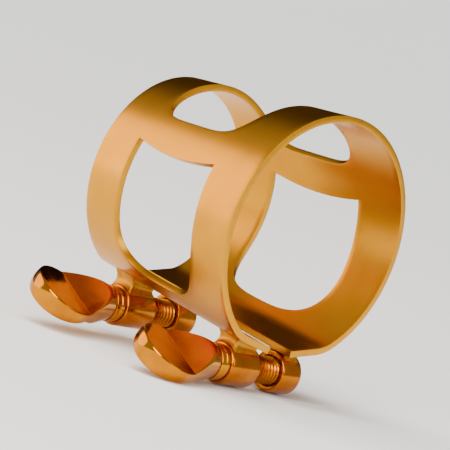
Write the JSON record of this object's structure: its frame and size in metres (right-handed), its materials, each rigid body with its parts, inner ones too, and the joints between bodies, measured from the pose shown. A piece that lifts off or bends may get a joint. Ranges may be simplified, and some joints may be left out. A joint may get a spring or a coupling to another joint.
{
  "type": "saxophone ligature",
  "caption": "Tapered sheet-metal ring with cut-out windows, drawn together under the reed by crosswise thumb screws in brazed barrels.",
  "frame": {"origin": "centre of the small front edge of the band, on the bore's axis", "axes": "+X along the bore towards the large rear edge, +Z away from the reed, -Y the side the thumb screw heads are on"},
  "size_m": [0.0243, 0.0315, 0.0309],
  "materials": {
    "band_lacquer": "satin gold lacquer on rolled sheet brass",
    "barrel_brass": "polished gold lacquer on turned brass",
    "braze": "lacquered hard solder",
    "screw_gold": "polished gold plate on turned brass"
  },
  "bodies": {
    "head_side": {"band": "band_lacquer", "front_plain_barrel": "barrel_brass", "front_plain_saddle": "braze", "rear_plain_barrel": "barrel_brass", "rear_plain_saddle": "braze"},
    "thread_side": {"front_threaded_barrel": "barrel_brass", "front_threaded_saddle": "braze", "rear_threaded_barrel": "barrel_brass", "rear_threaded_saddle": "braze"},
    "front_screw": {"front_screw_shank": "screw_gold", "front_screw_collar": "screw_gold", "front_screw_head": "screw_gold"},
    "rear_screw": {"rear_screw_shank": "screw_gold", "rear_screw_collar": "screw_gold", "rear_screw_head": "screw_gold"}
  },
  "joints": [
    {"name": "front_screw_turn", "type": "hinge", "parent": "head_side", "child": "front_screw", "pos_m": [0.00405, -0.008, -0.0138], "axis": [0, -1, 0], "range_deg": [-720, 1080]},
    {"name": "rear_screw_turn", "type": "hinge", "parent": "head_side", "child": "rear_screw", "pos_m": [0.02065, -0.008, -0.0149], "axis": [0, -1, 0], "range_deg": [-720, 1080]},
    {"name": "band_spread", "type": "hinge", "parent": "head_side", "child": "thread_side", "pos_m": [0.0115, 0.0033, 0.0123], "axis": [1, 0, 0], "range_deg": [-2.2, 3.3], "deforming": ["band"]}
  ],
  "couplings": [
    {"joint": "rear_screw_turn", "follows": "front_screw_turn", "ratio": 1},
    {"joint": "band_spread", "follows": "front_screw_turn", "ratio": 0.002986}
  ]
}
